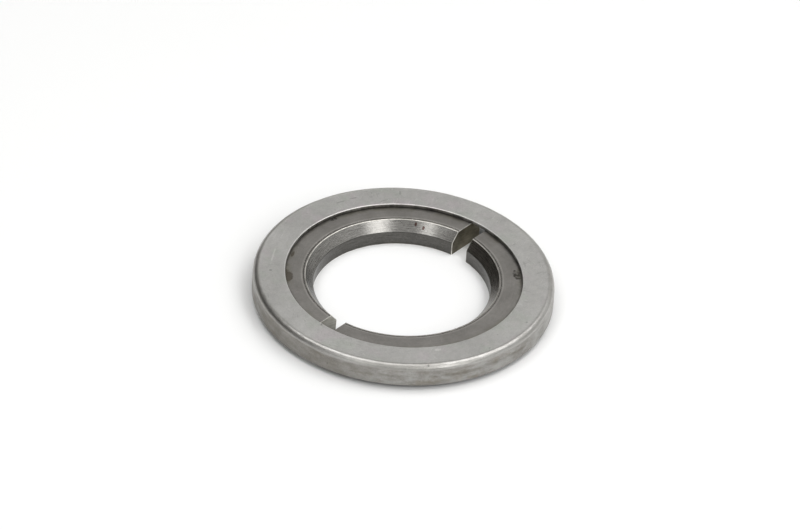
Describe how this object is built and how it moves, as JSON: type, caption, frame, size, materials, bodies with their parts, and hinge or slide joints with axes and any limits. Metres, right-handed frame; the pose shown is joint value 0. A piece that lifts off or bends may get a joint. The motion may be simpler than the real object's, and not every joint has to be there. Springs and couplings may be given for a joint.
{
  "type": "split thrust ring with retaining cap",
  "caption": "Split thrust ring for a shaft: two machined half rings, chamfered at the bore, held together under the lip of a pressed steel retaining cap.",
  "frame": {"origin": "on the cap's axis, at the plane that the half rings stand on", "axes": "+Z along the axis, out through the lip's hole; the ring is split across X, with the rear half at +Y and the front half at -Y"},
  "size_m": [0.1, 0.1, 0.0094],
  "materials": {
    "cap_steel": "satin pressed steel, lightly scratched and stained",
    "rear_ring_steel": "fine-turned dull steel with a grey-brown tarnish",
    "front_ring_steel": "fine-turned dull steel with a grey-brown tarnish"
  },
  "bodies": {
    "rear_half": {"rear_half_ring": "rear_ring_steel"},
    "front_half": {"front_half_ring": "front_ring_steel"},
    "cap": {"retaining_cap": "cap_steel"}
  },
  "joints": [
    {"name": "front_half_slide", "type": "slide", "parent": "rear_half", "child": "front_half", "axis": [0, -1, 0], "range_m": [-0.0056, 0.0053]},
    {"name": "cap_lift", "type": "slide", "parent": "rear_half", "child": "cap", "axis": [0, 0, 1], "range_m": [0, 0.02]}
  ]
}
